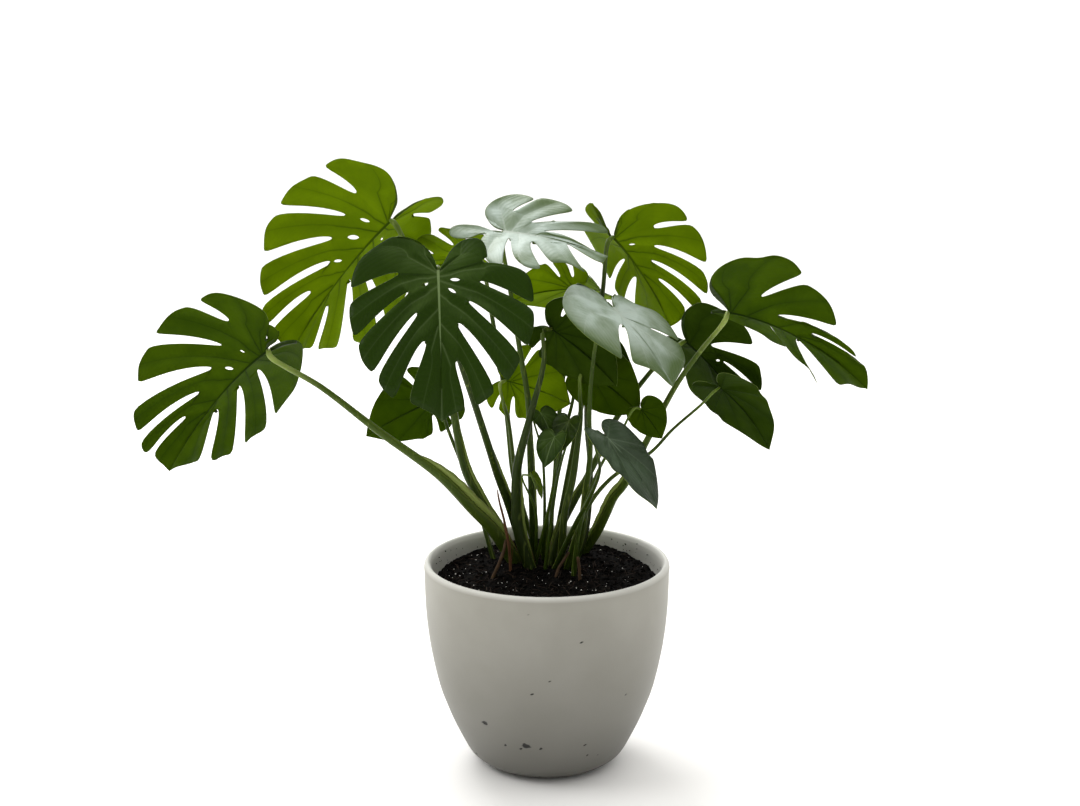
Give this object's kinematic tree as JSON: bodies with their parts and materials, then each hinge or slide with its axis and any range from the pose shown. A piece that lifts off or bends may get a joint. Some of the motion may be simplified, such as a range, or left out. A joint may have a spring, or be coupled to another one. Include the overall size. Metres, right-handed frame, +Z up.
{
  "type": "potted plant",
  "caption": "Potted split-leaf monstera with large cut leaves on arching stalks, in a smooth greige egg-shaped pot filled with dark soil.",
  "frame": {"origin": "centre of the pot's flat foot, on the surface that the pot stands on", "axes": "+Z up along the pot's axis, +X to the right and +Y to the back as seen from the pictured side"},
  "size_m": [1.0098, 0.3971, 0.8391],
  "materials": {
    "pot_body": "matt smooth greige",
    "potting_soil": "loose dark soil with white perlite",
    "leaf_bright": "thin leaf seen against the light, satin",
    "leaf_mid": "thin leaf, satin",
    "leaf_dark": "thin dark leaf, satin gloss",
    "leaf_pale": "thin leaf whose gloss mirrors the sky",
    "leaf_stalk": "fleshy smooth stalk, satin",
    "air_root": "corky, matt",
    "dry_husk": "dry brown fibre, matt"
  },
  "bodies": {
    "root": {"pot": "pot_body", "soil": "potting_soil", "stalk_low_left": "leaf_stalk", "blade_low_left": "leaf_mid", "stalk_high_left": "leaf_stalk", "blade_high_left": "leaf_bright", "stalk_front": "leaf_stalk", "blade_front": "leaf_dark", "stalk_top": "leaf_stalk", "blade_top": "leaf_pale", "stalk_silver": "leaf_stalk", "blade_silver": "leaf_pale", "stalk_high_right": "leaf_stalk", "blade_high_right": "leaf_bright", "stalk_far_right": "leaf_stalk", "blade_far_right": "leaf_mid", "stalk_back_right": "leaf_stalk", "blade_back_right": "leaf_dark", "stalk_low_right": "leaf_stalk", "blade_low_right": "leaf_dark", "stalk_low_front": "leaf_stalk", "blade_low_front": "leaf_dark", "stalk_low_back_right": "leaf_stalk", "blade_low_back_right": "leaf_mid", "stalk_behind_low_left": "leaf_stalk", "blade_behind_low_left": "leaf_mid", "stalk_behind_high_left": "leaf_stalk", "blade_behind_high_left": "leaf_bright", "stalk_behind_top": "leaf_stalk", "blade_behind_top": "leaf_bright", "stalk_behind_high_right": "leaf_stalk", "blade_behind_high_right": "leaf_bright", "stalk_middle_right": "leaf_stalk", "blade_middle_right": "leaf_dark", "stalk_middle": "leaf_stalk", "blade_middle": "leaf_mid", "stalk_middle_left": "leaf_stalk", "blade_middle_left": "leaf_bright", "stalk_middle_low_right": "leaf_stalk", "blade_middle_low_right": "leaf_mid", "stalk_inner_left": "leaf_stalk", "blade_inner_left": "leaf_dark", "stalk_inner_right": "leaf_stalk", "blade_inner_right": "leaf_mid", "stalk_inner_front": "leaf_stalk", "blade_inner_front": "leaf_dark", "stalk_inner_low": "leaf_stalk", "blade_inner_low": "leaf_bright", "air_root_left": "air_root", "air_root_middle": "air_root", "air_root_right": "air_root", "husk": "dry_husk"}
  },
  "joints": []
}
